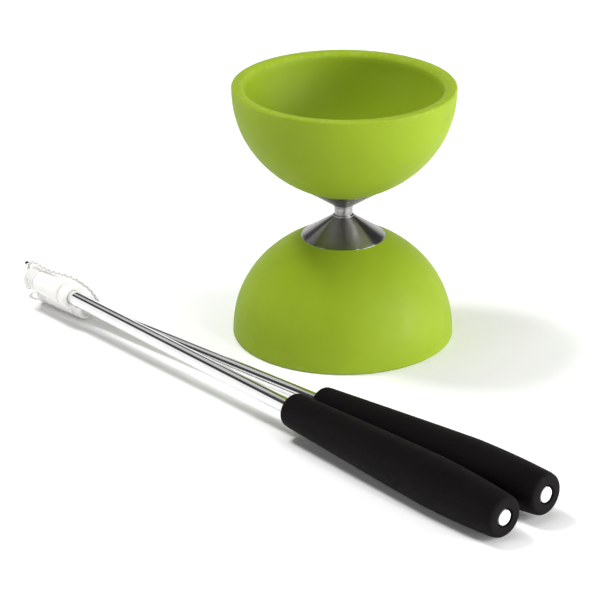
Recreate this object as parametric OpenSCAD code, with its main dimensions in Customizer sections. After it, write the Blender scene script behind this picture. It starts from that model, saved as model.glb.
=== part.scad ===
// Diabolo set: a spool of two rubber cups on a fixed metal axle, two handsticks and the string
// that joins them. Millimetres, +Z up. The set stands on z = 0, and the origin is the middle of
// its footprint.

/* [Cups] */
// Diameter of a cup across its rim
cup_d = 105; // [100:1:110]
// Height of a cup from its rim to the edge of the axle cone
cup_h = 49.2; // [46:0.2:54]
// Thickness of the wall at the rim
rim_wall = 6.3; // [5:0.1:8]
// Thickness of the web that the axle clamps
web_t = 6; // [4:0.5:8]
// How full the cup's outline is across its width
cup_fullness_r = 1.7; // [1.5:0.1:2]
// How full the cup's outline is up its height
cup_fullness_z = 2.2; // [2:0.1:2.4]

/* [Axle] */
// Diameter of a cone at its wide edge
cone_d = 40; // [36:1:44]
// Height of a cone above the cup
cone_h = 10.1; // [9:0.1:12]
// Diameter of a cone at the neck
cone_top_d = 9.8; // [9:0.1:11]
// Length of the neck between the two cones
neck_len = 5.4; // [5:0.1:7]
// Diameter of the polished band that the string runs on
band_d = 8.7; // [8:0.1:9]
// Diameter of the threaded stud through the axle
stud_d = 6; // [5:0.5:6.5]

/* [Handsticks] */
// Length of a handstick from its end plug to its nose
stick_len = 326; // [310:1:340]
// Diameter of the tube
tube_d = 7; // [6:0.5:7.5]
// Wall of the tube
tube_wall = 1; // [0.8:0.1:1.2]
// Length of the foam grip
grip_len = 133; // [120:1:140]
// Diameter of the grip at its fullest
grip_d = 22.4; // [20:0.2:22.4]
// Diameter of the grip at its open end
grip_end_d = 18.6; // [18:0.2:19]
// Diameter of the grip where the tube comes out
grip_front_d = 15.8; // [15:0.2:16]
// Length of the string guide on the tube's end
tip_len = 33; // [30:1:34]
// Diameter of the string guide
tip_d = 11.6; // [11:0.1:11.6]

/* [String] */
// Diameter of the string
string_d = 1.5; // [1.4:0.1:1.6]

/* [Hidden] */
$fn = 96;

fit = 0.05;             // radial clearance between pieces of one body

// spool
spool_at = [33, 85, 0];
spool_h = 2 * (cup_h + cone_h) + neck_len;
cone_seat = 2;          // how deep a cone's edge sits in its cup
cone_bevel = 0.5;
rim_edge = 1;           // rounding outside the rim
rim_lip = 3;            // rounding inside the rim
washer_d = 30;
washer_t = 1.5;
lock_washer_d = 12;
lock_washer_t = 1.6;
lock_washer_split = 2;
nut_across_flats = 10;
nut_t = 5;
stud_end = 1;           // thread that shows past a nut
web_z = cup_h - cone_seat - web_t;
bowl_d = cup_d - 2 * rim_wall;
bowl_floor_d = washer_d + 2;

// handsticks: where each end plug is, which way the stick points and how it tilts
front_end = [96.6, -130.3, 10.6];
front_heading = 131.2;
front_rise = 0.82;
rear_end = [115, -112.6, 12.1];
rear_heading = 134.4;
rear_rise = -1.12;
grip_full_at = 44;      // distance of the grip's fullest place from its open end
grip_edge = 2;
grip_taper = 1.1;       // 1 is a straight taper to the front
plug_d = 6.8;
plug_t = 1.2;
plug_spigot = 10;
plug_well_d = 8.6;
plug_well = 1.5;
tube_start = plug_well;
tube_in_tip = 26;
tube_gap = 0.5;         // room past the tube in its string guide
tip_hole_d = 2;
tip_collar = 4.5;
tip_chamfer = 0.6;
tip_slope = 0.2;        // how far each step of the outline leans
tip_nose = 1;
tip_groove = 1.2;
tip_groove_depth = 0.7;
rib_count = 4;
rib_pitch = 1.8;
rib_depth = 0.6;
rib_groove = 0.5;       // flat floor of the groove behind each rib
rib_slope = 0.3;
knot_d = 3.8;
knot_gap = 0.02;
tail_len = 6;

// string: it leaves the front nose, bows over both tips, runs along the floor to the hank behind
// the rear grip, and comes back to the rear nose
string_z = 0.8;
string_sides = 8;
ring_steps = 2;         // rings to each stretch of a route
front_route = [
    [-119.5, 116.5, 16.8], [-119.8, 116.8, 18.7], [-119.4, 116.4, 20.8], [-118.2, 115, 22.6],
    [-116.4, 112.8, 23.4], [-114.2, 110.3, 23.3], [-111.3, 107.3, 22.8],
    [-108, 104.5, 22.4], [-104, 102, 22.2], [-98.5, 100, 21.4], [-93.5, 99, 19],
    [-89.5, 99, 15.5], [-86.5, 100, 11], [-84.5, 100.5, 6.5], [-82, 99.5, 3],
    [-78.5, 97, 1.2], [-73, 92, string_z], [-54, 72, string_z], [-26, 43.5, string_z],
    [2, 15, string_z], [38.5, -19.5, string_z], [55, -34.5, string_z], [70.5, -50, 1.1]
];
rear_route = [
    [82.5, -43.5, 5.7], [80.5, -41.5, 5.6], [77.2, -39, 3.7], [73.5, -37, 1.6],
    [69.5, -35.5, 0.9], [62, -32.5, string_z], [53, -26, string_z], [41, -15, string_z],
    [4, 18, string_z], [-24, 45.5, string_z], [-52, 74, string_z], [-80, 102, string_z],
    [-102, 124, string_z], [-108, 129.5, 1], [-113, 132.3, 1.7], [-117.5, 132.3, 2.8],
    [-121, 130, 3.8], [-122, 126.7, 4.7], [-120, 123.8, 5.4], [-115.5, 122.3, 5.7]
];

// hank: a stack of flat racetrack windings, narrower towards the top
hank_at = [91.5, -58.5];
hank_run = 30;          // straight run between the folds
hank_fold_d = 9;        // innermost fold, centre to centre
hank_layers = 4;
hank_base = 0.4;
tie_w = 4;
tie_t = 0.35;

function arc(centre, r, from, to, steps) =
    [for (i = [0:steps]) let (a = from + (to - from) * i / steps) centre + r * [cos(a), sin(a)]];

// A quarter of a superellipse, from radius r at height 0 to radius r_end at height h
function bowl_curve(r, r_end, h, steps) =
    let (a_end = acos(pow(r_end / r, cup_fullness_r / 2)),
         height = h / pow(sin(a_end), 2 / cup_fullness_z))
    [for (i = [0:steps]) let (a = a_end * i / steps)
        [r * pow(cos(a), 2 / cup_fullness_r), height * pow(sin(a), 2 / cup_fullness_z)]];

function above(points, z) = [for (p = points) if (p[1] > z) p];

function reversed(points) = [for (i = [len(points) - 1:-1:0]) points[i]];

function grip_r(x) =
    x < grip_full_at
        ? grip_d / 2 - (grip_d - grip_end_d) / 2 * pow(1 - x / grip_full_at, 2)
        : grip_d / 2 - (grip_d - grip_front_d) / 2
            * pow((x - grip_full_at) / (grip_len - grip_full_at), grip_taper);

function unit(v) = v / norm(v);

// A point between b and c of a smooth curve through a, b, c and d
function between(a, b, c, d, t) =
    0.5 * (2 * b + (c - a) * t + (2 * a - 5 * b + 4 * c - d) * t * t
        + (3 * b - a - 3 * c + d) * t * t * t);

function smooth_route(route) =
    let (last = len(route) - 1)
    [for (i = [0:last - 1]) for (k = [0:ring_steps - 1])
        between(route[max(i - 1, 0)], route[i], route[i + 1], route[min(i + 2, last)],
            k / ring_steps),
     route[last]];

function tangents(line) =
    [for (i = [0:len(line) - 1])
        unit(line[min(i + 1, len(line) - 1)] - line[max(i - 1, 0)])];

// The sideways direction carried from ring to ring, so that the tube doesn't twist
function carried(along, i, side) =
    i == len(along) ? []
    : let (s = unit(side - along[i] * (side * along[i])))
        concat([s], carried(along, i + 1, s));

// Spool pieces: every lower piece is drawn in place, and its upper twin is its mirror image
module upper() {
    translate([0, 0, spool_h]) mirror([0, 0, 1]) children();
}

module at_spool() {
    translate(spool_at) children();
}

module cup() {
    outside = bowl_curve(cup_d / 2, cone_d / 2, cup_h, 32);
    inside = bowl_curve(bowl_d / 2, bowl_floor_d / 2, web_z, 28);
    edge = arc([cup_d / 2 - rim_edge, rim_edge], rim_edge, -90, 0, 4);
    lip = arc([bowl_d / 2 + rim_lip, rim_lip], rim_lip, 180, 270, 6);
    seat = cone_d / 2 + 3 * fit;
    bore = stud_d / 2 + 4 * fit;
    color("yellowgreen")
    rotate_extrude()
        polygon(concat(
            edge, above(outside, rim_edge),
            [[seat, cup_h], [seat, cup_h - cone_seat], [bore, cup_h - cone_seat], [bore, web_z]],
            reversed(above(inside, rim_lip)), lip));
}

module cone() {
    color("silver")
    translate([0, 0, cup_h - cone_seat])
        rotate_extrude()
            polygon([
                [stud_d / 2 + fit, 0], [cone_d / 2, 0], [cone_d / 2, cone_seat],
                [cone_d / 2 - cone_bevel, cone_seat + cone_bevel],
                [cone_top_d / 2, cone_seat + cone_h], [stud_d / 2 + fit, cone_seat + cone_h]
            ]);
}

module neck_ring() {
    collar = 0.5;
    groove = 0.4;
    groove_d = band_d - 0.6;
    color("gainsboro")
    translate([0, 0, spool_h / 2 - neck_len / 2])
        difference() {
            cylinder(d = cone_top_d, h = neck_len);
            translate([0, 0, collar]) hollow_ring(cone_top_d + 1, groove_d, groove);
            translate([0, 0, collar + groove])
                hollow_ring(cone_top_d + 1, band_d, neck_len - 2 * (collar + groove));
            translate([0, 0, neck_len - collar - groove])
                hollow_ring(cone_top_d + 1, groove_d, groove);
            translate([0, 0, -1]) cylinder(d = stud_d + 2 * fit, h = neck_len + 2);
        }
}

module hollow_ring(outer, inner, h) {
    difference() {
        cylinder(d = outer, h = h);
        translate([0, 0, -1]) cylinder(d = inner, h = h + 2);
    }
}

module stud() {
    reach = web_z - washer_t - lock_washer_t - nut_t - stud_end;
    color("darkgray")
    translate([0, 0, reach]) cylinder(d = stud_d, h = spool_h - 2 * reach);
}

module washer() {
    color("lightgray")
    translate([0, 0, web_z - washer_t])
        hollow_ring(washer_d, stud_d + 4 * fit, washer_t);
}

module lock_washer() {
    color("gray")
    translate([0, 0, web_z - washer_t - lock_washer_t])
        difference() {
            hollow_ring(lock_washer_d, stud_d + 4 * fit, lock_washer_t);
            translate([0, -lock_washer_split / 2, -1])
                cube([lock_washer_d, lock_washer_split, lock_washer_t + 2]);
        }
}

module hex_nut() {
    corners = nut_across_flats / cos(30);
    color("darkgray")
    translate([0, 0, web_z - washer_t - lock_washer_t - nut_t])
        difference() {
            intersection() {
                cylinder(d = corners, h = nut_t, $fn = 6);
                cylinder(d1 = nut_across_flats, d2 = nut_across_flats + 4 * nut_t, h = nut_t);
            }
            translate([0, 0, -1]) cylinder(d = stud_d + 2 * fit, h = nut_t + 2);
        }
}

// Handstick pieces: drawn along +Z from the end plug at 0 to the nose at stick_len
module front_stick() {
    translate(front_end) rotate([0, 90 - front_rise, front_heading]) children();
}

module rear_stick() {
    translate(rear_end) rotate([0, 90 - rear_rise, rear_heading]) children();
}

module stick_tube() {
    color("silver")
    translate([0, 0, tube_start])
        hollow_ring(tube_d, tube_d - 2 * tube_wall,
            stick_len - tip_len + tube_in_tip - tube_start);
}

module foam_grip() {
    steps = 24;
    first = grip_r(0) - grip_edge;
    last = grip_r(grip_len) - grip_edge;
    color("dimgray")
    rotate_extrude()
        polygon(concat(
            [[plug_well_d / 2, 0]],
            arc([first, grip_edge], grip_edge, -90, 0, 5),
            [for (i = [1:steps - 1]) let (x = grip_edge + (grip_len - 2 * grip_edge) * i / steps)
                [grip_r(x), x]],
            arc([last, grip_len - grip_edge], grip_edge, 0, 90, 5),
            [[tube_d / 2 + fit, grip_len], [tube_d / 2 + fit, plug_well],
             [plug_well_d / 2, plug_well]]));
}

module end_plug() {
    color("white") {
        translate([0, 0, plug_well - plug_t]) cylinder(d = plug_d, h = plug_t);
        translate([0, 0, plug_well])
            cylinder(d = tube_d - 2 * tube_wall - 2 * fit, h = plug_spigot);
    }
}

module string_guide() {
    r = tip_d / 2;
    body = r - tip_slope;
    ribs_from = tip_len - tip_nose - rib_count * rib_pitch;
    color("white")
    translate([0, 0, stick_len - tip_len])
        rotate_extrude()
            polygon(concat(
                [[tube_d / 2 + fit, 0], [r - tip_chamfer, 0], [r, tip_chamfer], [r, tip_collar],
                 [r - tip_groove_depth, tip_collar + tip_slope],
                 [r - tip_groove_depth, tip_collar + tip_groove],
                 [r, tip_collar + tip_groove + tip_slope], [body, ribs_from]],
                [for (i = [0:rib_count - 1]) each let (z = ribs_from + i * rib_pitch) [
                    [body - rib_depth, z + rib_slope], [body - rib_depth, z + rib_slope + rib_groove],
                    [body, z + 2 * rib_slope + rib_groove], [body, z + rib_pitch]]],
                [[r - tip_nose, tip_len], [tip_hole_d / 2, tip_len],
                 [tip_hole_d / 2, tube_in_tip + tube_gap],
                 [tube_d / 2 + fit, tube_in_tip + tube_gap]]));
}

// A knot against the nose, with a cut tail that points along the direction given
module knot(tail) {
    color("whitesmoke")
    translate([0, 0, stick_len + knot_d / 2 + knot_gap]) {
        sphere(d = knot_d);
        rotate(tail) cylinder(d = string_d, h = tail_len);
    }
}

// String pieces
module swept_string(route) {
    line = smooth_route(route);
    along = tangents(line);
    side = carried(along, 0, cross(along[0], [0.31, 0.42, 0.85]));
    rings = len(line);
    n = string_sides;
    points = [for (i = [0:rings - 1]) for (k = [0:n - 1])
        let (a = 360 * k / n, u = side[i], v = cross(along[i], side[i]))
        line[i] + string_d / 2 * (cos(a) * u + sin(a) * v)];
    walls = [for (i = [0:rings - 2]) for (k = [0:n - 1])
        [i * n + k, (i + 1) * n + k, (i + 1) * n + (k + 1) % n, i * n + (k + 1) % n]];
    ends = [[for (k = [0:n - 1]) k], [for (k = [n - 1:-1:0]) (rings - 1) * n + k]];
    color("white") polyhedron(points, concat(walls, ends));
}

module racetrack(r, h) {
    linear_extrude(h) {
        square([hank_run, 2 * r], center = true);
        for (side = [-1, 1]) translate([side * hank_run / 2, 0]) circle(r);
    }
}

module at_hank() {
    translate([hank_at[0], hank_at[1], 0]) rotate(rear_heading) children();
}

function layer_r(i) = hank_fold_d / 2 + string_d * (hank_layers - 1 - i) + string_d / 2;

module hank() {
    color("white")
    for (i = [0:hank_layers - 1])
        translate([0, 0, hank_base]) racetrack(layer_r(i), (i + 1) * string_d);
}

module tie_band(grow) {
    low = hank_base - grow;
    for (i = [0:hank_layers - 1]) {
        width = 2 * (layer_r(i) + grow);
        height = (i + 1) * string_d + 2 * grow;
        translate([-tie_w / 2, -width / 2, low]) cube([tie_w, width, height]);
    }
}

module tie() {
    color("dimgray")
    difference() {
        tie_band(tie_t);
        scale([2, 1, 1]) tie_band(0);
    }
}

module lower_cup() at_spool() cup();
module upper_cup() at_spool() upper() cup();
module lower_cone() at_spool() cone();
module upper_cone() at_spool() upper() cone();
module neck_sleeve() at_spool() neck_ring();
module axle_stud() at_spool() stud();
module lower_washer() at_spool() washer();
module upper_washer() at_spool() upper() washer();
module lower_lock_washer() at_spool() lock_washer();
module upper_lock_washer() at_spool() upper() lock_washer();
module lower_nut() at_spool() hex_nut();
module upper_nut() at_spool() upper() hex_nut();
module front_tube() front_stick() stick_tube();
module front_grip() front_stick() foam_grip();
module front_end_plug() front_stick() end_plug();
module front_tip() front_stick() string_guide();
module front_knot() front_stick() knot([0, -40, 30]);
module rear_tube() rear_stick() stick_tube();
module rear_grip() rear_stick() foam_grip();
module rear_end_plug() rear_stick() end_plug();
module rear_tip() rear_stick() string_guide();
module rear_knot() rear_stick() knot([60, 0, 0]);
module string_front_run() swept_string(front_route);
module string_rear_run() swept_string(rear_route);
module string_hank() at_hank() hank();
module hank_tie() at_hank() tie();

lower_cup();
upper_cup();
lower_cone();
upper_cone();
neck_sleeve();
axle_stud();
lower_washer();
upper_washer();
lower_lock_washer();
upper_lock_washer();
lower_nut();
upper_nut();
front_tube();
front_grip();
front_end_plug();
front_tip();
front_knot();
rear_tube();
rear_grip();
rear_end_plug();
rear_tip();
rear_knot();
string_front_run();
string_rear_run();
string_hank();
hank_tie();
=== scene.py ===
"""Looks for a diabolo set: a rubber spool on a metal axle, two foam-gripped handsticks and their string."""
import math

import bmesh
import bpy
import numpy as np
from mathutils import Matrix, Vector


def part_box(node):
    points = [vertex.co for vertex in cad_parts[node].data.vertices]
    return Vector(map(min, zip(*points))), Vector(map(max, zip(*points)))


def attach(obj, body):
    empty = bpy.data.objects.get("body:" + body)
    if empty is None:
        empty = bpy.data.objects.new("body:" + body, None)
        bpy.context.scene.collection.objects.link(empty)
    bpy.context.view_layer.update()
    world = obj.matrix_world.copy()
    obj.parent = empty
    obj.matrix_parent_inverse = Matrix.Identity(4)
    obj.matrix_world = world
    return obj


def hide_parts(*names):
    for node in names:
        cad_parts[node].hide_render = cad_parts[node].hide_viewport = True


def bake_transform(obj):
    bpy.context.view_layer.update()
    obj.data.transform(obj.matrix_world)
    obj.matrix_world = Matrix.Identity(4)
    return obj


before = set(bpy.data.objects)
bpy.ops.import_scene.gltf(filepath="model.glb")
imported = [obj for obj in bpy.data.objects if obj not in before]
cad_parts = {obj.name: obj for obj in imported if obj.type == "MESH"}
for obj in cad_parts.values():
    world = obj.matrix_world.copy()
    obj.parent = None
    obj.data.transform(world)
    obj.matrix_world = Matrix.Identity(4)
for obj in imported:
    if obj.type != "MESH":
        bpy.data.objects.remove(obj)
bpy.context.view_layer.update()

MM = 0.001
UP = Vector((0, 0, 1))

# ---------------------------------------------------------------- camera

CAMERA_AT = (0.012504, -1.170341, 0.553424)
CAMERA_DOWN = math.radians(23.1945)
CAMERA_LENS = 171.48
CAMERA_SENSOR = 36


def make_camera():
    data = bpy.data.cameras.new("camera")
    data.lens = CAMERA_LENS
    data.sensor_width = CAMERA_SENSOR
    camera = bpy.data.objects.new("camera", data)
    camera.location = CAMERA_AT
    camera.rotation_euler = (math.pi / 2 - CAMERA_DOWN, 0, 0)
    bpy.context.scene.collection.objects.link(camera)
    bpy.context.scene.camera = camera


# ---------------------------------------------------------------- node trees

# A noise seldom leaves this part of its range.
NOISE_LOW, NOISE_HIGH = 0.3, 0.7


class Tree:
    """Adds nodes to a tree and feeds their sockets with values or other sockets."""

    def __init__(self, nodes_of):
        self.nodes, self.links = nodes_of.nodes, nodes_of.links

    def feed(self, socket, value):
        if isinstance(value, bpy.types.NodeSocket):
            self.links.new(value, socket)
        else:
            socket.default_value = value

    def add(self, kind, feeds=None, **settings):
        node = self.nodes.new(kind)
        for name, value in settings.items():
            setattr(node, name, value)
        for name, value in (feeds or {}).items():
            self.feed(node.inputs[name], value)
        return node

    def math(self, operation, *values):
        node = self.add("ShaderNodeMath", operation=operation)
        for socket, value in zip(node.inputs, values):
            self.feed(socket, value)
        return node.outputs[0]

    def noise(self, where, scale, detail=3.0, rough=0.5):
        feeds = {"Vector": where, "Scale": scale, "Detail": detail, "Roughness": rough}
        return self.add("ShaderNodeTexNoise", feeds).outputs["Fac"]

    def ramp(self, value, *stops):
        node = self.add("ShaderNodeValToRGB", {"Fac": value})
        band = node.color_ramp
        while len(band.elements) < len(stops):
            band.elements.new(0.5)
        for element, (place, colour) in zip(band.elements, stops):
            element.position = place
            element.color = (*colour, 1)
        return node.outputs["Color"]

    def spread(self, value, low, high, new_low, new_high):
        feeds = {
            "Value": value, "From Min": low, "From Max": high, "To Min": new_low, "To Max": new_high}
        return self.add("ShaderNodeMapRange", feeds).outputs["Result"]

    def between(self, noise, low, high):
        """A number from low to high, as a noise rises."""
        return self.spread(noise, NOISE_LOW, NOISE_HIGH, low, high)

    def shades(self, noise, dark, light):
        """A colour from dark to light, as a noise rises."""
        return self.ramp(noise, (NOISE_LOW, dark), (NOISE_HIGH, light))

    def vector_math(self, operation, *values):
        return self.add("ShaderNodeVectorMath", dict(enumerate(values)), operation=operation).outputs[0]

    def apart(self, vector):
        """The X, Y and Z of a vector."""
        return self.add("ShaderNodeSeparateXYZ", {0: vector}).outputs

    def joined(self, **parts):
        """A vector from its X, Y and Z."""
        return self.add("ShaderNodeCombineXYZ", parts).outputs[0]

    def stretched(self, where, scale):
        """The coordinates, times a scale of their own for X, Y and Z."""
        return self.vector_math("MULTIPLY", where, scale)

    def bump(self, height, strength, distance, under=None):
        feeds = {"Height": height, "Strength": strength, "Distance": distance}
        if under is not None:
            feeds["Normal"] = under
        return self.add("ShaderNodeBump", feeds).outputs["Normal"]


class Finish(Tree):
    """A material with its shader, its place coordinates and its surface map."""

    def __init__(self, name, **shader):
        self.material = bpy.data.materials.new(name)
        self.material.use_nodes = True
        super().__init__(self.material.node_tree)
        self.shader = self.nodes["Principled BSDF"]
        for socket, value in shader.items():
            self.shader.inputs[socket.replace("_", " ")].default_value = value
        coordinates = self.add("ShaderNodeTexCoord")
        self.place, self.map = coordinates.outputs["Object"], coordinates.outputs["UV"]

    def set(self, **feeds):
        for socket, value in feeds.items():
            self.feed(self.shader.inputs[socket.replace("_", " ")], value)
        return self.material


# ---------------------------------------------------------------- where things are

spool_low, spool_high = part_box("lower_cup")[0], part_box("upper_cup")[1]
SPOOL_AT = Vector(((spool_low.x + spool_high.x) / 2, (spool_low.y + spool_high.y) / 2, 0))
SPOOL_H = spool_high.z
CUP_R = (spool_high.x - spool_low.x) / 2
CUP_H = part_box("lower_cup")[1].z
CONE_R = (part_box("lower_cone")[1].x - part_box("lower_cone")[0].x) / 2
NECK_LOW, NECK_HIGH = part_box("neck_sleeve")[0].z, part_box("neck_sleeve")[1].z
NECK_R = (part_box("neck_sleeve")[1].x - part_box("neck_sleeve")[0].x) / 2
STUD_LOW, STUD_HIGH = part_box("axle_stud")[0].z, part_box("axle_stud")[1].z
STUD_R = (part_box("axle_stud")[1].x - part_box("axle_stud")[0].x) / 2
WEB_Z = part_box("lower_washer")[1].z

CONE_SEAT = 2 * MM
CONE_BEVEL = 0.5 * MM
BAND_R = 4.35 * MM
WEB_R = 16 * MM
RIM_WALL = 6.3 * MM
RIM_EDGE = 1 * MM
RIM_LIP = 3 * MM
FULLNESS_R = 1.7
FULLNESS_Z = 2.2
FIT = 0.05 * MM
CLOSE_BORE_R = STUD_R + FIT
LOOSE_BORE_R = STUD_R + 4 * FIT

TUBE_START = 1.5 * MM
STICK_LEN = 326 * MM
TUBE_R = 3.5 * MM
TUBE_WALL = 1 * MM
GRIP_LEN = 133 * MM
GRIP_FULL_AT = 44 * MM
GRIP_R = 11.2 * MM
GRIP_END_R = 9.3 * MM
GRIP_FRONT_R = 7.9 * MM
GRIP_EDGE = 2 * MM
GRIP_TAPER = 1.1
WELL_R = 4.3 * MM
PLUG_R = 3.4 * MM
PLUG_SUNK = 0.3 * MM
SPIGOT_R = 2.45 * MM
SPIGOT_LEN = 10 * MM
TIP_LEN = 33 * MM
TIP_R = 5.8 * MM
TIP_HOLE_R = 1 * MM
TUBE_IN_TIP = 26 * MM
TUBE_GAP = 0.5 * MM
CORD_R = 0.75 * MM
# Points that meet are merged, and edges without a length are removed.
TOUCHING = 0.002 * MM
NO_LENGTH = 1e-7


def stick_frame(side):
    """The matrix that puts a stick's own +Z, from end plug to nose, along its tube."""
    points = np.array([v.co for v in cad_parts[f"{side}_tube"].data.vertices])
    middle = (points.min(0) + points.max(0)) / 2
    along = np.linalg.svd(points - points.mean(0), full_matrices=False)[2][0]
    plug_low, plug_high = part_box(f"{side}_end_plug")
    if np.dot(np.array((plug_low + plug_high) / 2) - middle, along) > 0:
        along = -along
    reach = ((points - middle) @ along).min()
    z = Vector(along).normalized()
    y = UP.cross(z).normalized()
    turned = Matrix((y.cross(z), y, z)).transposed().to_4x4()
    start = Vector(middle + along * reach) - z * TUBE_START
    return Matrix.Translation(start) @ turned


STICKS = {"front": stick_frame("front"), "rear": stick_frame("rear")}
AT_SPOOL = Matrix.Translation(SPOOL_AT)
FLIPPED = Matrix.Translation((0, 0, SPOOL_H)) @ Matrix.Diagonal((1, 1, -1, 1))
SPOOL_ENDS = {"lower": AT_SPOOL, "upper": AT_SPOOL @ FLIPPED}

# ---------------------------------------------------------------- outlines


def arc(centre, r, start, end, steps):
    angles = [math.radians(start + (end - start) * i / steps) for i in range(steps + 1)]
    return [(centre[0] + r * math.cos(a), centre[1] + r * math.sin(a)) for a in angles]


def eased(points, r, steps=4, closed=True):
    """The outline with each of its corners rounded by about r."""
    points = [Vector(p) for p in points]
    nearly_half = 0.45
    out = []
    for i, corner in enumerate(points):
        if not closed and i in (0, len(points) - 1):
            out.append(corner)
            continue
        before, after = points[i - 1] - corner, points[(i + 1) % len(points)] - corner
        a = corner + before.normalized() * min(r, before.length * nearly_half)
        b = corner + after.normalized() * min(r, after.length * nearly_half)
        for k in range(steps + 1):
            t = k / steps
            out.append(a * (1 - t) ** 2 + corner * 2 * t * (1 - t) + b * t * t)
    if closed:
        out.append(out[0])
    return [tuple(p) for p in out]


def bowl_curve(r, r_end, h, steps):
    """A quarter of a superellipse, from radius r at height 0 to radius r_end at height h."""
    last = math.acos((r_end / r) ** (FULLNESS_R / 2))
    height = h / math.sin(last) ** (2 / FULLNESS_Z)
    angles = [last * i / steps for i in range(steps + 1)]
    return [
        (r * math.cos(a) ** (2 / FULLNESS_R), height * math.sin(a) ** (2 / FULLNESS_Z)) for a in angles]


def cup_outline():
    """A cup on its rim: up the outside to the cone's seat, down the bore, and back along the inside."""
    outside = bowl_curve(CUP_R, CONE_R, CUP_H, 90)
    inside = bowl_curve(CUP_R - RIM_WALL, WEB_R, WEB_Z, 80)
    edge = arc((CUP_R - RIM_EDGE, RIM_EDGE), RIM_EDGE, -90, 0, 8)
    lip = arc((CUP_R - RIM_WALL + RIM_LIP, RIM_LIP), RIM_LIP, 180, 270, 10)
    seat = CONE_R + 3 * FIT
    bore = LOOSE_BORE_R
    seat_z = CUP_H - CONE_SEAT
    soft = 0.4 * MM
    to_seat = [outside[-2], outside[-1], (seat, CUP_H), (seat, seat_z), (bore, seat_z)]
    shoulder = eased(to_seat, soft, closed=False)
    floor = eased([(bore, seat_z), (bore, WEB_Z), inside[-1], inside[-2]], soft, closed=False)
    outer = [p for p in outside[:-2] if p[1] > RIM_EDGE]
    inner = [p for p in reversed(inside[:-2]) if p[1] > RIM_LIP]
    return edge + outer + shoulder + floor[1:] + inner + lip + edge[:1]


def cone_outline():
    """The lower cone, with a short cylinder that sits in the cup and a bevel above it."""
    low, top = CUP_H - CONE_SEAT, NECK_LOW
    bore, soft = CLOSE_BORE_R, 0.12 * MM
    return eased([
        (bore, low), (CONE_R, low), (CONE_R, CUP_H), (CONE_R - CONE_BEVEL, CUP_H + CONE_BEVEL),
        (NECK_R, top), (bore, top)], soft, 3)


def neck_outline():
    """A polished band between two collars, with a fine groove beside each collar."""
    collar, groove, groove_r = 0.5 * MM, 0.4 * MM, BAND_R - 0.3 * MM
    bore, soft = CLOSE_BORE_R, 0.08 * MM
    low, high = NECK_LOW, NECK_HIGH
    return eased([
        (bore, low), (NECK_R, low), (NECK_R, low + collar), (groove_r, low + collar),
        (groove_r, low + collar + groove), (BAND_R, low + collar + groove),
        (BAND_R, high - collar - groove), (groove_r, high - collar - groove),
        (groove_r, high - collar), (NECK_R, high - collar), (NECK_R, high), (bore, high)], soft, 3)


def ring_outline(outer, inner, low, high, soft):
    """A washer or a tube, with softened edges."""
    return eased([(inner, low), (outer, low), (outer, high), (inner, high)], soft)


def grip_radius(x):
    """The barrel's radius at a distance from its open end: swelling first, then a long taper."""
    if x < GRIP_FULL_AT:
        return GRIP_R - (GRIP_R - GRIP_END_R) * (1 - x / GRIP_FULL_AT) ** 2
    to_front = (x - GRIP_FULL_AT) / (GRIP_LEN - GRIP_FULL_AT)
    return GRIP_R - (GRIP_R - GRIP_FRONT_R) * to_front ** GRIP_TAPER


def grip_outline():
    steps = 130
    first, last = grip_radius(0) - GRIP_EDGE, grip_radius(GRIP_LEN) - GRIP_EDGE
    body = [GRIP_EDGE + (GRIP_LEN - 2 * GRIP_EDGE) * i / steps for i in range(1, steps)]
    bore, soft = TUBE_R + FIT, 0.4 * MM
    inside = [(last, GRIP_LEN), (bore, GRIP_LEN), (bore, TUBE_START), (WELL_R, TUBE_START),
              (WELL_R, 0), (first, 0)]
    return (
        arc((first, GRIP_EDGE), GRIP_EDGE, -90, 0, 8)
        + [(grip_radius(x), x) for x in body]
        + arc((last, GRIP_LEN - GRIP_EDGE), GRIP_EDGE, 0, 90, 8)
        + eased(inside, soft, closed=False)[1:]
    )


def plug_outline():
    """A flat cap in the grip's well, with a spigot inside the tube."""
    low, end, soft = PLUG_SUNK, TUBE_START + SPIGOT_LEN, 0.35 * MM
    return [(0, low)] + eased([
        (0, low), (PLUG_R, low), (PLUG_R, TUBE_START), (SPIGOT_R, TUBE_START),
        (SPIGOT_R, end), (0, end)], soft, 5, closed=False)


def tip_outline():
    """The string guide: a collar and a groove at its back, ribs at its nose and a hole through it."""
    collar, chamfer, slope, nose = 4.5 * MM, 0.6 * MM, 0.2 * MM, 1 * MM
    groove, groove_r = 1.2 * MM, TIP_R - 0.7 * MM
    ribs, pitch, rib_groove, rib_slope = 4, 1.8 * MM, 0.5 * MM, 0.3 * MM
    back = STICK_LEN - TIP_LEN
    inner, shoulder, soft = TUBE_R + FIT, TUBE_IN_TIP + TUBE_GAP, 0.22 * MM
    ribs_from = TIP_LEN - nose - ribs * pitch
    body = TIP_R - slope
    rib_floor = body - 0.6 * MM
    outline = [
        (inner, 0), (TIP_R - chamfer, 0), (TIP_R, chamfer), (TIP_R, collar),
        (groove_r, collar + slope), (groove_r, collar + groove),
        (TIP_R, collar + groove + slope), (body, ribs_from)]
    for i in range(ribs):
        z = ribs_from + i * pitch
        outline += [(rib_floor, z + rib_slope), (rib_floor, z + rib_slope + rib_groove),
                    (body, z + 2 * rib_slope + rib_groove), (body, z + pitch)]
    outline += [(TIP_R - nose, TIP_LEN), (TIP_HOLE_R, TIP_LEN), (TIP_HOLE_R, shoulder), (inner, shoulder)]
    return [(r, z + back) for r, z in eased(outline, soft)]


# ---------------------------------------------------------------- geometry node trees

THREAD_PITCH = 1 * MM
THREAD_DEPTH = 0.55 * MM


def socket_in(tree, name, kind, value=None):
    socket = tree.interface.new_socket(name, in_out="INPUT", socket_type=kind)
    if value is not None:
        socket.default_value = value


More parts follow.
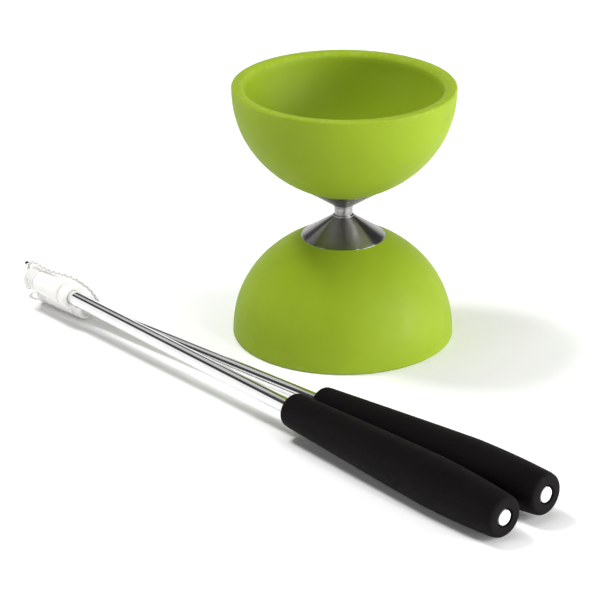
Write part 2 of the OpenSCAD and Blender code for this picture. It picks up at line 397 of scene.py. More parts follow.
def new_tree(name, *inputs):
    tree = bpy.data.node_groups.new(name, "GeometryNodeTree")
    for given in inputs:
        socket_in(tree, *given)
    tree.interface.new_socket("Part", in_out="OUTPUT", socket_type="NodeSocketGeometry")
    t = Tree(tree)
    return tree, t, t.add("NodeGroupInput").outputs


def end_tree(t, part, material):
    """Every tree ends in real geometry with its material."""
    real = t.add("GeometryNodeRealizeInstances", {"Geometry": part}).outputs[0]
    done = t.add("GeometryNodeSetMaterial", {"Geometry": real, "Material": material}).outputs[0]
    t.add("NodeGroupOutput", {"Part": done})


def turned_tree():
    """Turns an outline, drawn in X and Z, once round the Z axis."""
    tree, t, given = new_tree(
        "turned_part", ("Outline", "NodeSocketGeometry"), ("Segments", "NodeSocketInt", 96),
        ("Material", "NodeSocketMaterial"))
    size = t.add("GeometryNodeAttributeDomainSize", {"Geometry": given["Outline"]})
    around = t.math("ADD", given["Segments"], 1)
    grid = t.add("GeometryNodeMeshGrid", {
        "Size X": 1, "Size Y": 1, "Vertices X": size.outputs["Point Count"], "Vertices Y": around})
    index = t.add("GeometryNodeInputIndex").outputs[0]
    step = t.math("FLOOR", t.math("DIVIDE", index, around))
    turn = t.math("DIVIDE", t.math("MODULO", index, around), given["Segments"])
    position = t.add("GeometryNodeInputPosition").outputs[0]
    point = t.add(
        "GeometryNodeSampleIndex", {"Geometry": given["Outline"], "Index": step}, data_type="FLOAT_VECTOR")
    t.feed(next(s for s in point.inputs if s.name == "Value" and s.enabled), position)
    sampled = next(s for s in point.outputs if s.enabled)
    radius, _, height = t.apart(sampled)
    angle = t.math("MULTIPLY", turn, 2 * math.pi)
    x = t.math("MULTIPLY", radius, t.math("COSINE", angle))
    y = t.math("MULTIPLY", radius, t.math("SINE", angle))
    mapped = t.add(
        "GeometryNodeStoreNamedAttribute", {"Geometry": grid.outputs["Mesh"], "Name": "UVMap"},
        data_type="FLOAT2", domain="CORNER")
    t.feed(next(s for s in mapped.inputs if s.name == "Value" and s.enabled), grid.outputs["UV Map"])
    shaped = t.add("GeometryNodeSetPosition", {
        "Geometry": mapped.outputs[0], "Position": t.joined(X=x, Y=y, Z=height)}).outputs[0]
    closed = t.add("GeometryNodeMergeByDistance", {"Geometry": shaped, "Distance": TOUCHING}).outputs[0]
    end_tree(t, closed, given["Material"])
    return tree


def thread_tree():
    """A stud: a core with a V thread wound along it."""
    tree, t, given = new_tree(
        "threaded_stud", ("Radius", "NodeSocketFloat", STUD_R), ("Pitch", "NodeSocketFloat", THREAD_PITCH),
        ("Length", "NodeSocketFloat", STUD_HIGH - STUD_LOW), ("Depth", "NodeSocketFloat", THREAD_DEPTH),
        ("Steps per turn", "NodeSocketInt", 32), ("Material", "NodeSocketMaterial"))
    inner = t.math("SUBTRACT", given["Radius"], given["Depth"])
    run = t.math("SUBTRACT", given["Length"], given["Pitch"])
    turns = t.math("DIVIDE", run, given["Pitch"])
    spiral = t.add("GeometryNodeCurveSpiral", {
        "Resolution": given["Steps per turn"], "Rotations": turns, "Start Radius": inner,
        "End Radius": inner, "Height": run}).outputs[0]
    upright = t.add("GeometryNodeSetCurveNormal", {"Curve": spiral}, mode="Z_UP").outputs[0]
    ridge = t.add("GeometryNodeCurvePrimitiveCircle", {"Resolution": 3, "Radius": given["Depth"]})
    wound = t.add("GeometryNodeCurveToMesh", {
        "Curve": upright, "Profile Curve": ridge.outputs[0], "Fill Caps": True}).outputs[0]
    core = t.add("GeometryNodeMeshCylinder", {
        "Vertices": 48, "Side Segments": 1, "Fill Segments": 1, "Radius": inner,
        "Depth": given["Length"]}).outputs["Mesh"]
    both = t.add("GeometryNodeJoinGeometry")
    t.feed(both.inputs[0], raised(t, wound, given["Pitch"]))
    t.feed(both.inputs[0], raised(t, core, given["Length"]))
    end_tree(t, both.outputs[0], given["Material"])
    return tree


def raised(t, part, height):
    """The part, moved up by half of a height."""
    up = t.joined(Z=t.math("MULTIPLY", height, 0.5))
    return t.add("GeometryNodeTransform", {"Geometry": part, "Translation": up}).outputs[0]


def grown(name, tree, start_mesh, values, matrix, sharp):
    """Runs a tree on a mesh, and returns the result as a plain mesh object in its place."""
    seed = bpy.data.objects.new(name + "_seed", start_mesh)
    bpy.context.scene.collection.objects.link(seed)
    modifier = seed.modifiers.new("tree", "NODES")
    modifier.node_group = tree
    for item in tree.interface.items_tree:
        if item.item_type == "SOCKET" and item.name in values:
            modifier[item.identifier] = values[item.name]
    bpy.context.view_layer.update()
    depsgraph = bpy.context.evaluated_depsgraph_get()
    mesh = bpy.data.meshes.new_from_object(seed.evaluated_get(depsgraph))
    bpy.data.objects.remove(seed)
    mesh.transform(matrix)
    return settled(name, mesh, sharp)


def settled(name, mesh, sharp):
    """A piece from a mesh: its faces turned outwards, and its edges sharp past an angle."""
    mesh.name = name
    work = bmesh.new()
    work.from_mesh(mesh)
    bmesh.ops.dissolve_degenerate(work, dist=NO_LENGTH, edges=work.edges)
    bmesh.ops.recalc_face_normals(work, faces=work.faces)
    work.to_mesh(mesh)
    work.free()
    mesh.shade_smooth()
    mesh.set_sharp_from_angle(angle=math.radians(sharp))
    piece = bpy.data.objects.new(name, mesh)
    bpy.context.scene.collection.objects.link(piece)
    return piece


TURNED = turned_tree()
THREADED = thread_tree()


def turned(name, outline, segments, material, matrix, body, slot, node, sharp=40):
    """A turned piece from its outline of radii and heights, in its place on its body."""
    mesh = bpy.data.meshes.new(name + "_outline")
    mesh.from_pydata([(r, 0, z) for r, z in outline], [(i, i + 1) for i in range(len(outline) - 1)], [])
    piece = grown(name, TURNED, mesh, {"Segments": segments, "Material": material}, matrix, sharp)
    return placed(piece, body, slot, node)


def placed(piece, body, slot, *nodes):
    """The piece, riding on its body, in place of the CAD nodes that it stands for, which are hidden. Its
    slot is not used.
    """
    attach(piece, body)
    if nodes:
        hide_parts(*nodes)
    return piece


# ---------------------------------------------------------------- cord work

# The same route as the design's string: out of the front nose, over both guides, along the floor
# to the hank, and back to the rear nose. Millimetres.
STRING_Z = 0.8
FRONT_ROUTE = [
    (-119.5, 116.5, 16.8), (-119.8, 116.8, 18.7), (-119.4, 116.4, 20.8), (-118.2, 115, 22.6),
    (-116.4, 112.8, 23.4), (-114.2, 110.3, 23.3), (-111.3, 107.3, 22.8),
    (-108, 104.5, 22.4), (-104, 102, 22.2), (-98.5, 100, 21.4), (-93.5, 99, 19),
    (-89.5, 99, 15.5), (-86.5, 100, 11), (-84.5, 100.5, 6.5), (-82, 99.5, 3),
    (-78.5, 97, 1.2), (-73, 92, STRING_Z), (-54, 72, STRING_Z), (-26, 43.5, STRING_Z),
    (2, 15, STRING_Z), (38.5, -19.5, STRING_Z), (55, -34.5, STRING_Z), (70.5, -50, 1.1),
]
REAR_ROUTE = [
    (82.5, -43.5, 5.7), (80.5, -41.5, 5.6), (77.2, -39, 3.7), (73.5, -37, 1.6),
    (69.5, -35.5, 0.9), (62, -32.5, STRING_Z), (53, -26, STRING_Z), (41, -15, STRING_Z),
    (4, 18, STRING_Z), (-24, 45.5, STRING_Z), (-52, 74, STRING_Z), (-80, 102, STRING_Z),
    (-102, 124, STRING_Z), (-108, 129.5, 1), (-113, 132.3, 1.7), (-117.5, 132.3, 2.8),
    (-121, 130, 3.8), (-122, 126.7, 4.7), (-120, 123.8, 5.4), (-115.5, 122.3, 5.7),
]
HANK_AT = Vector((91.5, -58.5, 0)) * MM
HANK_RUN = 30 * MM
HANK_BASE = 0.4 * MM
HANK_FOLD_R = 4.5 * MM
HANK_LAYERS = 4
SHIFT_STEPS, BACK_STEPS, FOLD_STEPS = 8, 6, 12

# Where the string loops over the tips, its points stand closer together.
LOOPS_BEFORE_X = -76.5 * MM
LOOPS_BEFORE_Y = 118 * MM
LOOPS_ABOVE_Z = 1.5 * MM
FINE_STEP, PLAIN_STEP = 0.15 * MM, 0.5 * MM

# The braid: strands wound each way, the length of one turn, and how far they stand out.
STRANDS = 3
LAY = 3 * MM
RELIEF = 0.07
MEAN_RELIEF = 0.6

KNOT_HALF_W = 0.47 * MM
KNOT_HALF_H = 0.85 * MM
KNOT_CORD_R = 0.7 * MM
KNOT_OFF_NOSE = 0.72 * MM
KNOT_STEPS = 96
TAIL_LEN = 7.5 * MM
TAIL_SWAY = 0.5 * MM
TAIL_STEPS = 20
BEAD_R = 1 * MM

TIE_THICK = 0.3 * MM
TIE_HALF_W = 0.85 * MM
TIE_ROOM = 0.02 * MM
TIE_EDGE = 0.1 * MM
TIE_TURNS_AT = (-1.05 * MM, 1.05 * MM)


def hank_frame():
    along = (STICKS["rear"].to_3x3() @ UP)
    along.z = 0
    along.normalize()
    return Matrix.Translation(HANK_AT) @ Matrix((along, UP.cross(along), UP)).transposed().to_4x4()


def hank_rings():
    """Radius and height of each turn: in along one layer, out along the next, up to a single turn."""
    rings = []
    for layer in range(HANK_LAYERS):
        radii = [HANK_FOLD_R + 2 * CORD_R * i for i in range(HANK_LAYERS - layer)]
        if layer % 2 == 0:
            radii.reverse()
        rings += [(r, HANK_BASE + CORD_R * (2 * layer + 1)) for r in radii]
    return rings


def hank_line():
    """Turns wound round two folds; each turn shifts to its own radius along its first run."""
    rings = hank_rings()
    half = HANK_RUN / 2
    points = []
    before = rings[0]
    for number, (r, z) in enumerate(rings):
        for i in range(SHIFT_STEPS + 1):
            t = i / SHIFT_STEPS
            s = t * t * (3 - 2 * t)
            shifted = before[0] + (r - before[0]) * s
            points.append((half - HANK_RUN * t, shifted, before[1] + (z - before[1]) * s))
        points += [(-half - x, y, z) for x, y in fold(r)]
        points += [(HANK_RUN * i / BACK_STEPS - half, -r, z) for i in range(1, BACK_STEPS + 1)]
        if number < len(rings) - 1:
            points += [(half + x, -y, z) for x, y in fold(r)][:-1]
        before = (r, z)
    matrix = hank_frame()
    return [matrix @ Vector(p) for p in points]


def fold(r):
    """Points of a half turn from one side to the other, without its ends."""
    angles = [math.pi * i / FOLD_STEPS for i in range(1, FOLD_STEPS)]
    return [(r * math.sin(a), r * math.cos(a)) for a in angles]


def smooth_line(points, steps):
    """A curve through all of the points."""
    out = []
    last = len(points) - 1
    for i in range(last):
        a, b, c, d = points[max(i - 1, 0)], points[i], points[i + 1], points[min(i + 2, last)]
        for k in range(steps):
            t = k / steps
            out.append(0.5 * (2 * b + (c - a) * t + (2 * a - 5 * b + 4 * c - d) * t * t
                              + (3 * b - a - 3 * c + d) * t * t * t))
    out.append(points[-1])
    return out


def evenly(line, spacing):
    """The line again, with its points a spacing apart; spacing may depend on the point."""
    out = [line[0]]
    left = spacing(line[0])
    for a, b in zip(line, line[1:]):
        length = (b - a).length
        done = 0.0
        while length - done >= left:
            done += left
            out.append(a.lerp(b, done / length))
            left = spacing(out[-1])
        left -= length - done
    out.append(line[-1])
    return out


def braided(name, line, radius, caps=True):
    """A cord along a line, with crossing strands. Its map holds turns round it and metres along it."""
    sides = 12
    count = len(line)
    points = np.array([tuple(p) for p in line])
    ahead = np.gradient(points, axis=0)
    ahead /= np.linalg.norm(ahead, axis=1)[:, None]
    gone = np.concatenate([[0], np.cumsum(np.linalg.norm(np.diff(points, axis=0), axis=1))])
    any_way = (0.31, 0.42, 0.85)
    side = np.cross(ahead[0], any_way)
    verts = []
    angles = np.arange(sides) * 2 * math.pi / sides
    for i in range(count):
        side = side - ahead[i] * (side @ ahead[i])
        side /= np.linalg.norm(side)
        other = np.cross(ahead[i], side)
        turn = 2 * math.pi * gone[i] / LAY
        woven = np.maximum(np.cos(STRANDS * angles + turn), np.cos(STRANDS * angles - turn))
        r = radius * (1 + RELIEF * (woven - MEAN_RELIEF))
        outwards = np.cos(angles)[:, None] * side + np.sin(angles)[:, None] * other
        verts.append(points[i] + r[:, None] * outwards)
    faces, maps = [], []
    for i in range(count - 1):
        for k in range(sides):
            j = (k + 1) % sides
            faces.append((i * sides + k, i * sides + j, (i + 1) * sides + j, (i + 1) * sides + k))
            u, w = k / sides, (k + 1) / sides
            maps += [(u, gone[i]), (w, gone[i]), (w, gone[i + 1]), (u, gone[i + 1])]
    if caps:
        faces += [tuple(reversed(range(sides))), tuple(range((count - 1) * sides, count * sides))]
        maps += [(0.5, gone[0])] * sides + [(0.5, gone[-1])] * sides
    mesh = bpy.data.meshes.new(name)
    mesh.from_pydata([tuple(v) for v in np.concatenate(verts)], [], faces)
    layer = mesh.uv_layers.new(name="UVMap")
    layer.data.foreach_set("uv", np.array(maps, np.float32).ravel())
    return mesh


def string_step(p):
    """The distance from a point of the string to the next."""
    in_loop = p.x < LOOPS_BEFORE_X and p.y < LOOPS_BEFORE_Y and p.z > LOOPS_ABOVE_Z
    return FINE_STEP if in_loop else PLAIN_STEP


def string_line():
    front = [Vector(p) * MM for p in FRONT_ROUTE]
    rear = [Vector(p) * MM for p in REAR_ROUTE]
    return evenly(smooth_line(front + hank_line() + rear, steps=12), string_step)


def make_string(material):
    """The string as a piece, with its middle line and its length."""
    line = string_line()
    mesh = braided("string", line, CORD_R)
    mesh.materials.append(material)
    string = settled("string", mesh, 60)
    length = sum((b - a).length for a, b in zip(line, line[1:]))
    return string, line, length


def make_knot(side, tail_way, material, sealed):
    """An overhand knot drawn tight against the nose, with a short tail that was cut with heat."""
    middle = Vector((0, 0, STICK_LEN + KNOT_HALF_H + KNOT_OFF_NOSE))
    loop = []
    for i in range(KNOT_STEPS + 1):
        t = 2 * math.pi * i / KNOT_STEPS
        loop.append(middle + Vector((
            KNOT_HALF_W * (math.sin(t) + 2 * math.sin(2 * t)),
            KNOT_HALF_W * (math.cos(t) - 2 * math.cos(2 * t)),
            -KNOT_HALF_H * math.sin(3 * t))))
    mesh = braided("knot", loop, KNOT_CORD_R, caps=False)
    tail = []
    for i in range(TAIL_STEPS + 1):
        sway = Vector((TAIL_SWAY * math.sin(i / 7), 0, 0))
        tail.append(middle + tail_way * (TAIL_LEN * i / TAIL_STEPS) + sway)
    joined = bmesh.new()
    joined.from_mesh(mesh)
    joined.from_mesh(braided("tail", tail, CORD_R))
    bead_at = Matrix.Translation(tail[-1])
    flat = tail_way.to_track_quat("Z", "Y").to_matrix().to_4x4() @ Matrix.Diagonal((1, 1, 0.8, 1))
    before = len(joined.faces)
    bmesh.ops.create_icosphere(joined, subdivisions=3, radius=BEAD_R, matrix=bead_at @ flat)
    joined.faces.ensure_lookup_table()
    for face in joined.faces[before:]:
        face.material_index = 1
    joined.transform(STICKS[side])
    joined.to_mesh(mesh)
    joined.free()
    mesh.materials.append(material)
    mesh.materials.append(sealed)
    knot = settled(f"{side}_string_knot", mesh, 60)
    return placed(knot, f"{side}_stick", "string_cord", f"{side}_knot")


def belt(corners, r, steps=8):
    """A closed band round the circles of radius r at the corners, which run anticlockwise."""
    out = []
    count = len(corners)
    for i, corner in enumerate(corners):
        into = corner - corners[i - 1]
        away = corners[(i + 1) % count] - corner
        start = math.atan2(-into.x, into.y)
        turn = (math.atan2(-away.x, away.y) - start) % (2 * math.pi)
        for k in range(steps + 1):
            a = start + turn * k / steps + math.pi
            out.append(corner + Vector((math.cos(a), math.sin(a))) * r)
    return out


def make_tie(material):
    """A rubber band, stretched twice round the hank."""
    wide = HANK_FOLD_R + 2 * CORD_R * (HANK_LAYERS - 1)
    low, high = HANK_BASE + CORD_R, HANK_BASE + CORD_R * (2 * HANK_LAYERS - 1)
    places = (-wide, low), (wide, low), (HANK_FOLD_R, high), (-HANK_FOLD_R, high)
    corners = [Vector(place) for place in places]
    inner = belt(corners, CORD_R + TIE_ROOM)
    outer = belt(corners, CORD_R + TIE_ROOM + TIE_THICK)
    work = bmesh.new()
    for middle in TIE_TURNS_AT:
        low_side, high_side = middle - TIE_HALF_W, middle + TIE_HALF_W
        rings = []
        for x, shape in ((low_side, inner), (low_side, outer), (high_side, outer), (high_side, inner)):
            rings.append([work.verts.new((x, p.x, p.y)) for p in shape])
        for k in range(4):
            a, b = rings[k], rings[(k + 1) % 4]
            for i in range(len(a)):
                j = (i + 1) % len(a)
                work.faces.new((a[i], a[j], b[j], b[i]))
    bmesh.ops.remove_doubles(work, verts=work.verts, dist=TOUCHING)
    sharp = math.radians(69)
    edges = [e for e in work.edges if len(e.link_faces) == 2 and e.calc_face_angle(0) > sharp]
    bmesh.ops.bevel(work, geom=edges, offset=TIE_EDGE, segments=2, affect="EDGES", profile=0.5)
    work.transform(hank_frame())
    mesh = bpy.data.meshes.new("band")
    work.to_mesh(mesh)
    work.free()
    mesh.materials.append(material)
    return placed(settled("hank_rubber_band", mesh, 40), "rear_stick", "tie_rubber", "hank_tie")


# ---------------------------------------------------------------- finishes


def lime_rubber():
    """Matt moulded rubber: a fine grain, faint clouding, and rims scuffed by the floor."""
    f = Finish("lime_rubber", Specular_IOR_Level=0.18)
    cloud = f.noise(f.place, 26, 4)
    colour = f.shades(cloud, (0.218, 0.310, 0.011), (0.246, 0.346, 0.014))
    scuffed, scuff_reach = (0.36, 0.44, 0.12, 1), 2.5 * MM
    height = f.apart(f.place)["Z"]
    low = f.spread(height, 0.0, scuff_reach, 1, 0)
    high = f.spread(height, SPOOL_H - scuff_reach, SPOOL_H, 0, 1)
    spots = f.spread(f.noise(f.place, 420, 5), 0.5, 0.68, 0, 1)
    scuffs = f.math("MULTIPLY", f.math("MAXIMUM", low, high), spots)
    worn = f.add("ShaderNodeMix", {0: f.math("MULTIPLY", scuffs, 0.35), 6: colour, 7: scuffed},
                 data_type="RGBA").outputs[2]
    rough = f.between(f.noise(f.place, 130, 4), 0.50, 0.64)
    grain = f.bump(f.noise(f.place, 2600, 3, 0.6), 0.22, 0.05 * MM)
    soft = f.bump(f.noise(f.place, 60, 2), 0.12, 0.4 * MM, grain)
    return f.set(Base_Color=worn, Roughness=rough, Normal=soft)


def turned_metal(name, colours, rough, ring_scale, strength, anisotropy):
    """Metal turned on a lathe: fine rings round the spool's axle, and slight stains.

    The rings draw each highlight out into a streak that runs away from the axle.
    """
    f = Finish(name, Metallic=1.0, Anisotropic=anisotropy, Anisotropic_Rotation=0.25)
    x, y, z = f.apart(f.vector_math("SUBTRACT", f.place, tuple(SPOOL_AT)))
    radius = f.math("SQRT", f.math("ADD", f.math("POWER", x, 2.0), f.math("POWER", y, 2.0)))
    lines = f.noise(f.joined(X=radius, Y=z), ring_scale, 2, 0.7)
    stretched_radius = f.math("MULTIPLY", radius, 12.0)
    swirl = f.noise(f.joined(X=stretched_radius, Y=f.math("ARCTAN2", y, x), Z=z), 40, 3)
    stained = f.math("ADD", f.math("MULTIPLY", lines, 0.6), f.math("MULTIPLY", swirl, 0.4))
    return f.set(Base_Color=f.shades(stained, *colours), Roughness=f.between(swirl, *rough),
                 Normal=f.bump(lines, strength, 0.02 * MM))


def plated_metal(name, colours, rough):
    """Plating on a fastener: cloudy, with small flecks."""
    f = Finish(name, Metallic=1.0)
    cloud = f.noise(f.place, 300, 5, 0.6)
    fleck = f.noise(f.place, 2400, 2)
    return f.set(Base_Color=f.shades(cloud, *colours), Roughness=f.between(cloud, *rough),
                 Normal=f.bump(fleck, 0.15, 0.04 * MM))


def drawn_tube():
    """Polished tube with faint lines along its length and a few handling marks."""
    f = Finish("polished_tube", Metallic=1.0)
    lines = f.noise(f.stretched(f.map, (1.2, 90, 1)), 6, 3, 0.6)
    marks = f.noise(f.place, 90, 5, 0.65)
    colour = f.shades(marks, (0.80, 0.80, 0.81), (0.90, 0.90, 0.90))
    handled = f.spread(marks, 0.45, 0.75, 0.07, 0.16)
    drawn = f.spread(lines, 0.4, 0.7, 0.0, 0.04)
    return f.set(Base_Color=colour, Roughness=f.math("ADD", handled, drawn),
                 Normal=f.bump(lines, 0.05, 0.02 * MM))


def foam():
    """Foam: near black, with fine cells open at its surface and a dusty bloom."""
    f = Finish("black_foam", Specular_IOR_Level=0.12)
    cells = f.add("ShaderNodeTexVoronoi", {"Vector": f.place, "Scale": 2300.0}).outputs["Distance"]
    clumps = f.noise(f.place, 260, 4, 0.6)
    dust = f.noise(f.place, 34, 5)
    bloom = f.math("ADD", f.math("MULTIPLY", clumps, 0.5), f.math("MULTIPLY", dust, 0.5))
    colour = f.shades(bloom, (0.0030, 0.0024, 0.0025), (0.0062, 0.0050, 0.0052))
    pits = f.bump(cells, 0.35, 0.12 * MM)
    return f.set(Base_Color=colour, Roughness=f.between(clumps, 0.72, 0.92),
                 Normal=f.bump(clumps, 0.25, 0.25 * MM, pits))


def white_plastic(name, colours, rough, strength):
    """Moulded plastic: faintly uneven, with fine scratches."""
    f = Finish(name, Specular_IOR_Level=0.45)
    cloud = f.noise(f.place, 180, 4)
    scratches = f.noise(f.stretched(f.place, (1, 1, 6)), 700, 4, 0.7)
    return f.set(Base_Color=f.shades(cloud, *colours), Roughness=f.between(scratches, *rough),
                 Normal=f.bump(scratches, strength, 0.03 * MM))


def braid():
    """Braided cord: strands that cross, each with fine fibres, with painted shade between them."""
    f = Finish("white_braid", Specular_IOR_Level=0.3, Sheen_Weight=0.25, Sheen_Roughness=0.4)
    turned_by, gone, _ = f.apart(f.map)
    around = f.math("MULTIPLY", turned_by, STRANDS * 2 * math.pi)
    along = f.math("MULTIPLY", gone, 2 * math.pi / LAY)
    left = f.math("COSINE", f.math("ADD", around, along))
    right = f.math("COSINE", f.math("SUBTRACT", around, along))
    woven = f.spread(f.math("MAXIMUM", left, right), -0.2, 1.0, 0.0, 1.0)
    fibres = f.noise(f.stretched(f.map, (9, 3000, 1)), 3, 3, 0.7)
    dirt = f.noise(f.place, 160, 4)
    shade = f.math("MULTIPLY", woven, f.between(dirt, 0.82, 1.0))
    # The ramp paints shade into the grooves between strands; the dirt noise varies the tone at random.
    colour = f.ramp(shade, (0.0, (0.46, 0.45, 0.44)), (0.8, (0.82, 0.81, 0.79)))
    strands = f.bump(woven, 0.6, 0.15 * MM)
    return f.set(Base_Color=colour, Roughness=f.between(fibres, 0.6, 0.85),
                 Normal=f.bump(fibres, 0.3, 0.05 * MM, strands))


def sealed_cord():
    """The end of the cord, melted dark."""
    f = Finish("melted_cord_end", Specular_IOR_Level=0.25)
    lumps = f.noise(f.place, 1800, 3)
    return f.set(Base_Color=f.shades(lumps, (0.006, 0.005, 0.005), (0.022, 0.017, 0.014)),
                 Roughness=f.between(lumps, 0.3, 0.5), Normal=f.bump(lumps, 0.4, 0.1 * MM))


def band_rubber():
    """Black rubber, slightly lumpy and greyed."""
    f = Finish("black_rubber_band", Specular_IOR_Level=0.4)
    lumps = f.noise(f.place, 900, 4)
    return f.set(Base_Color=f.shades(lumps, (0.016, 0.016, 0.017), (0.035, 0.034, 0.034)),
                 Roughness=f.between(lumps, 0.45, 0.65), Normal=f.bump(lumps, 0.3, 0.05 * MM))


# ---------------------------------------------------------------- pieces


def spring_washer(name, matrix, material, body, node):
    """A split ring whose two ends stand apart, as a spring washer's do."""
    low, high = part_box("lower_lock_washer")
    outer, inner = (high.y - low.y) / 2, LOOSE_BORE_R
    thick, rise, half_gap = high.z - low.z, 0.15 * MM, math.radians(11)
    middle, half_w, half_t = (outer + inner) / 2, (outer - inner) / 2, (thick - rise) / 2
    corners = (-half_w, -half_t), (half_w, -half_t), (half_w, half_t), (-half_w, half_t)
    section = eased(corners, 0.25 * MM, 3)[:-1]
    steps = 96
    work = bmesh.new()
    rings = []
    for i in range(steps + 1):
        a = half_gap + (2 * math.pi - 2 * half_gap) * i / steps
        z = (low.z + high.z) / 2 + rise * (i / steps - 0.5)
        places = [((middle + x) * math.cos(a), (middle + x) * math.sin(a), z + y) for x, y in section]
        rings.append([work.verts.new(place) for place in places])
    for a, b in zip(rings, rings[1:]):
        for k in range(len(section)):
            j = (k + 1) % len(section)
            work.faces.new((a[k], a[j], b[j], b[k]))
    work.faces.new(rings[0])
    work.faces.new(list(reversed(rings[-1])))
    work.transform(matrix)
    mesh = bpy.data.meshes.new(name)
    work.to_mesh(mesh)
    work.free()
    mesh.materials.append(material)
    return placed(settled(name, mesh, 40), body, "lock_washer_steel", node)


def make_spool():
    rubber = lime_rubber()
    cone_greys = (0.25, 0.242, 0.232), (0.33, 0.322, 0.312)
    neck_greys = (0.30, 0.295, 0.29), (0.38, 0.375, 0.37)
    cone = turned_metal("brushed_cone", cone_greys, (0.22, 0.27), 5200, 0.03, 0.9)
    neck = turned_metal("polished_neck", neck_greys, (0.20, 0.26), 3000, 0.03, 0.85)
    zinc = plated_metal("zinc_washer", ((0.52, 0.52, 0.53), (0.68, 0.68, 0.69)), (0.22, 0.36))
    spring = plated_metal("spring_steel", ((0.22, 0.22, 0.23), (0.34, 0.34, 0.35)), (0.28, 0.42))
    nut = plated_metal("zinc_nut", ((0.50, 0.50, 0.51), (0.66, 0.66, 0.67)), (0.20, 0.34))
    stud = plated_metal("zinc_stud", ((0.44, 0.44, 0.45), (0.60, 0.60, 0.61)), (0.20, 0.32))
    for end, matrix in SPOOL_ENDS.items():
        turned(f"{end}_rubber_cup", cup_outline(), 192, rubber, matrix,
               "spool", "cup_rubber", f"{end}_cup")
        turned(f"{end}_steel_cone", cone_outline(), 160, cone, matrix,
               "spool", "cone_steel", f"{end}_cone", 25)
        low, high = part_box("lower_washer")
        washer = ring_outline((high.x - low.x) / 2, LOOSE_BORE_R, low.z, high.z, 0.3 * MM)
        turned(f"{end}_plain_washer", washer, 128, zinc, matrix,
               "spool", "washer_steel", f"{end}_washer")
        spring_washer(f"{end}_spring_washer", matrix, spring, "spool", f"{end}_lock_washer")
        cad_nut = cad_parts[f"{end}_nut"]
        cad_nut.data.materials.clear()
        cad_nut.data.materials.append(nut)
    turned("neck_ring", neck_outline(), 128, neck, AT_SPOOL, "spool", "neck_steel", "neck_sleeve", 30)
    values = {"Material": stud}
    at_stud = Matrix.Translation(SPOOL_AT + Vector((0, 0, STUD_LOW)))
    placed(grown("threaded_stud", THREADED, bpy.data.meshes.new("stud"), values, at_stud, 30),
           "spool", "stud_steel", "axle_stud")


def make_sticks(cord, sealed):
    tube_finish, foam_finish = drawn_tube(), foam()
    tip = white_plastic("white_guide", ((0.80, 0.79, 0.76), (0.86, 0.85, 0.83)), (0.28, 0.40), 0.12)
    plug = white_plastic("white_plug", ((0.84, 0.84, 0.84), (0.92, 0.92, 0.92)), (0.25, 0.38), 0.08)
    tube_end = STICK_LEN - TIP_LEN + TUBE_IN_TIP
    tube_shape = ring_outline(TUBE_R, TUBE_R - TUBE_WALL, TUBE_START, tube_end, 0.15 * MM)
    # The way that each knot's tail points, in its own stick's frame.
    tails = {
        "front": Vector((-0.557, -0.321, 0.766)),
        "rear": Vector((0, -0.866, 0.5)),
    }
    knots = []
    for side, matrix in STICKS.items():
        body = f"{side}_stick"
        turned(f"{side}_polished_tube", tube_shape, 96, tube_finish, matrix,
               body, "tube_aluminium", f"{side}_tube")
        grip = turned(f"{side}_foam_grip", grip_outline(), 128, foam_finish, matrix,
                      body, "grip_foam", f"{side}_grip", 60)
        turned(f"{side}_plug_cap", plug_outline(), 96, plug, matrix,
               body, "plug_plastic", f"{side}_end_plug")
        turned(f"{side}_string_guide", tip_outline(), 128, tip, matrix,
               body, "tip_plastic", f"{side}_tip")
        knots.append(make_knot(side, tails[side], cord, sealed))
    return knots


# ---------------------------------------------------------------- stage

FLOOR_HALF = 1.5
# The studio is white up to these heights: all round, and on the left.
WHITE_ROUND, WHITE_LEFT = 0.22, 0.44
WHITE_FADE = 0.10
STUDIO_STRENGTH = 1.05


def make_floor():
    mesh = bpy.data.meshes.new("floor")
    h = FLOOR_HALF
    mesh.from_pydata([(-h, -h, 0), (h, -h, 0), (h, h, 0), (-h, h, 0)], [], [(0, 1, 2, 3)])
    floor = bpy.data.objects.new("floor", mesh)
    bpy.context.scene.collection.objects.link(floor)
    f = Finish("white_floor", Roughness=0.9, Specular_IOR_Level=0.1)
    mesh.materials.append(f.set(Base_Color=(0.93, 0.93, 0.93, 1)))


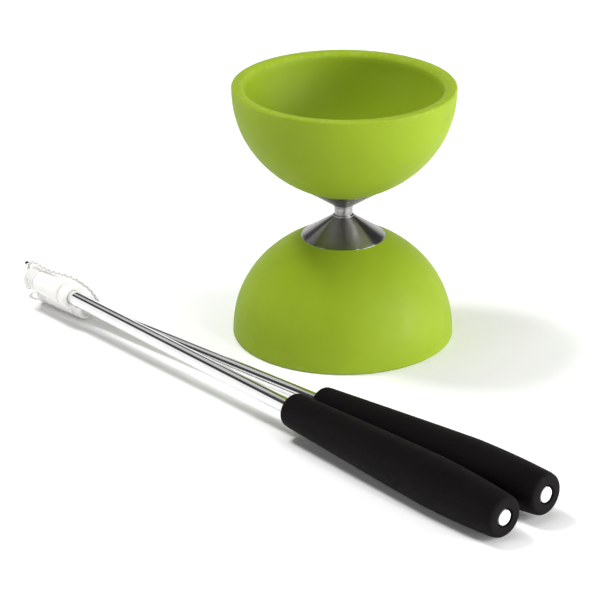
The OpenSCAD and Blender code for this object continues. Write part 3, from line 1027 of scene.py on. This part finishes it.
def area_light(name, at, towards, size, power, in_metal=True):
    """A rectangle of light; in_metal says whether it shows in reflections."""
    data = bpy.data.lights.new(name, "AREA")
    data.shape = "RECTANGLE"
    data.size, data.size_y = size
    data.energy = power
    light = bpy.data.objects.new(name, data)
    light.location = at
    light.rotation_euler = (Vector(towards) - Vector(at)).to_track_quat("-Z", "Y").to_euler()
    light.visible_glossy = in_metal
    bpy.context.scene.collection.objects.link(light)


def make_world():
    """A studio that is white near the floor, higher up on the left, and dark above that."""
    world = bpy.data.worlds.new("studio")
    bpy.context.scene.world = world
    world.use_nodes = True
    t = Tree(world.node_tree)
    where = t.add("ShaderNodeTexCoord").outputs["Generated"]
    x, y, z = t.apart(where)
    to_right = t.apart(t.vector_math("NORMALIZE", t.joined(X=x, Y=y)))["X"]
    risen = t.spread(to_right, -0.93, -0.75, WHITE_LEFT - WHITE_ROUND, 0.0)
    white, dark, overhead = (1, 1, 1), (0.04, 0.04, 0.04), (0.09, 0.09, 0.09)
    glow = t.ramp(t.math("SUBTRACT", z, risen), (0.0, white), (WHITE_ROUND, white),
                  (WHITE_ROUND + WHITE_FADE, dark), (1.0, overhead))
    background = world.node_tree.nodes["Background"]
    t.feed(background.inputs["Color"], glow)
    t.feed(background.inputs["Strength"], STUDIO_STRENGTH)


def make_lights():
    middle, spool = (0, 0, 0.03), (0.03, 0.08, 0.06)
    area_light("high_left_key", (-0.71, 0.34, 1.53), middle, (0.36, 0.36), 18.5, in_metal=False)
    area_light("overhead_fill", (0, 0, 1.8), middle, (1.2, 1.2), 10.0, in_metal=False)
    area_light("right_softbox", (1.6, -0.35, 0.5), spool, (1.1, 0.8), 33.0)
    area_light("back_left_panel", (-0.58, 1.19, 1.19), middle, (1.0, 0.55), 0.95)
    area_light("front_right_strip", (1.0, -1.05, 0.7), spool, (0.05, 0.9), 6.0)
    area_light("left_strip", (-1.25, -0.65, 0.6), spool, (0.05, 0.5), 2.0)
    bpy.context.scene.view_settings.view_transform = "Standard"


# ---------------------------------------------------------------- the set

make_camera()
cord, sealed = braid(), sealed_cord()
string, string_path, string_length = make_string(cord)
knots = make_sticks(cord, sealed)
tie = make_tie(band_rubber())
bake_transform(string)
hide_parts("string_front_run", "string_rear_run", "string_hank")
make_spool()
make_floor()
make_world()
make_lights()
